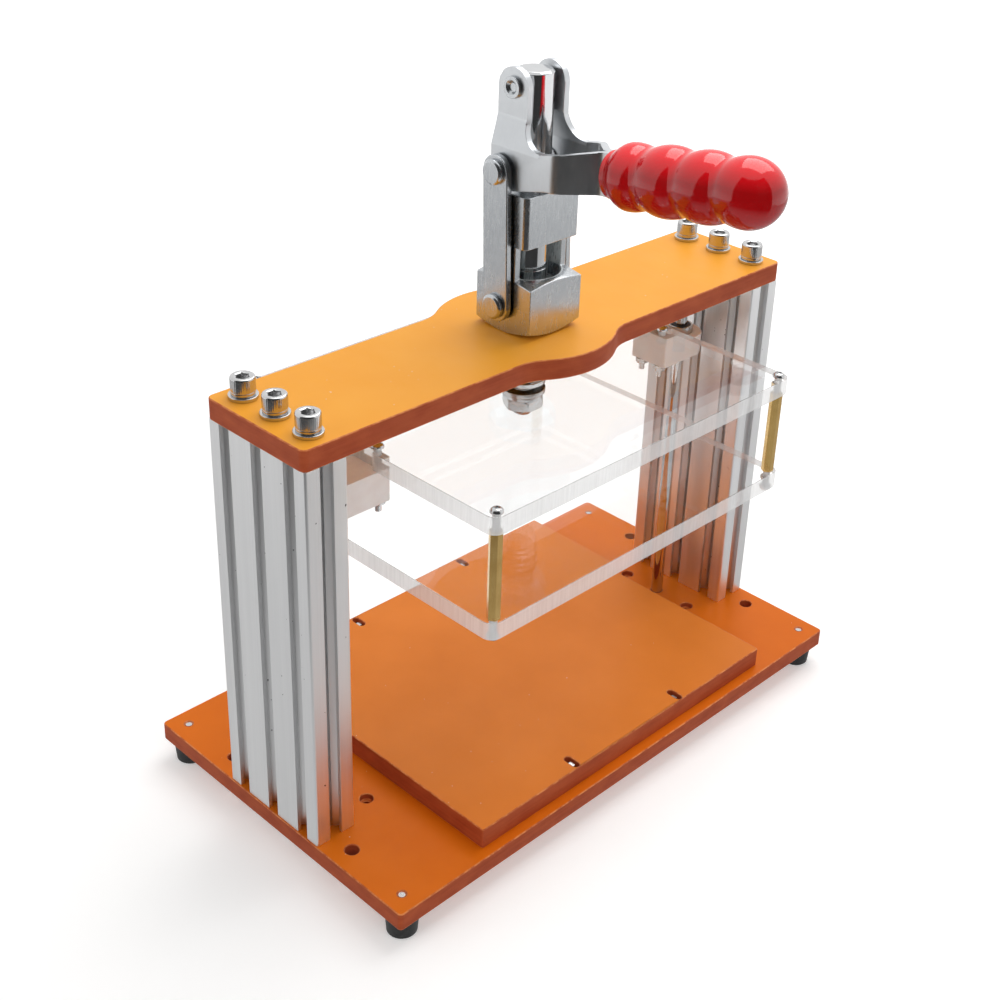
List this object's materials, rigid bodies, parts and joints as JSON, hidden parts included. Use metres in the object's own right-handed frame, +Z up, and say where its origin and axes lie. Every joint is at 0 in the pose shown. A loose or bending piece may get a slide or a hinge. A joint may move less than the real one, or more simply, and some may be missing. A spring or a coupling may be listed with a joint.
{
  "type": "pcb test fixture",
  "caption": "Bench press fixture for testing circuit boards: a toggle clamp on a bridge lowers clear plates on guide shafts over a carrier plate.",
  "frame": {"origin": "on the table, in the plane of the undersides of the feet, below the centre of the base", "axes": "+X along the base from the left upright to the right one, +Y from the handle's side to the back, +Z up along the plunger"},
  "size_m": [0.29, 0.2074, 0.3201],
  "materials": {
    "bakelite": "smooth orange-brown phenolic board, satin",
    "aluminium": "satin anodised extrusion",
    "stainless": "plain stainless fasteners",
    "ground_steel": "ground and polished bar",
    "zinc_steel": "bright zinc plate with a bluish tint",
    "clear_acrylic": "clear acrylic with sawn, frosted edges",
    "brass": "bright turned brass",
    "milky_plastic": "milled milky white plastic",
    "black_rubber": "matt black rubber",
    "red_grip": "glossy red moulded plastic"
  },
  "bodies": {
    "root": {"base_plate": "bakelite", "carrier_plate": "bakelite", "bridge_plate": "bakelite", "left_upright": "aluminium", "right_upright": "aluminium", "upright_cap_screws": "stainless", "upright_spring_washers": "stainless", "upright_flat_washers": "stainless", "base_screws": "stainless", "foot_screws": "stainless", "carrier_screws": "stainless", "left_guide_shaft": "ground_steel", "right_guide_shaft": "ground_steel", "clamp_body": "zinc_steel", "clamp_lock_nut": "zinc_steel", "lower_link_rivets": "zinc_steel", "rubber_feet": "black_rubber"},
    "press": {"lower_press_plate": "clear_acrylic", "upper_press_plate": "clear_acrylic", "plunger": "ground_steel", "plunger_stud": "stainless", "plunger_nuts": "stainless", "plunger_flat_washers": "stainless", "plunger_spring_washer": "stainless", "standoffs": "brass", "standoff_top_screws": "stainless", "standoff_bottom_screws": "stainless", "left_guide_block": "milky_plastic", "right_guide_block": "milky_plastic", "linear_bearings": "stainless", "bearing_seals": "black_rubber", "block_screws": "stainless", "block_nuts": "stainless"},
    "links": {"left_link": "zinc_steel", "right_link": "zinc_steel", "upper_link_rivets": "zinc_steel"},
    "handle": {"left_yoke_arm": "zinc_steel", "right_yoke_arm": "zinc_steel", "yoke_pins": "zinc_steel", "handle_grip": "red_grip"}
  },
  "joints": [
    {"name": "press_slide", "type": "slide", "parent": "root", "child": "press", "axis": [0, 0, -1], "range_m": [0, 0.025]},
    {"name": "link_swing", "type": "hinge", "parent": "root", "child": "links", "pos_m": [0, 0, 0.2201], "axis": [1, 0, 0], "range_deg": [0, 32.39]},
    {"name": "handle_turn", "type": "hinge", "parent": "links", "child": "handle", "pos_m": [0, 0.002, 0.2783], "axis": [-1, 0, 0], "range_deg": [0, 96]}
  ],
  "couplings": [
    {"joint": "link_swing", "follows": "press_slide", "rad_per_m": 22.601},
    {"joint": "handle_turn", "follows": "press_slide", "rad_per_m": 66.988}
  ]
}
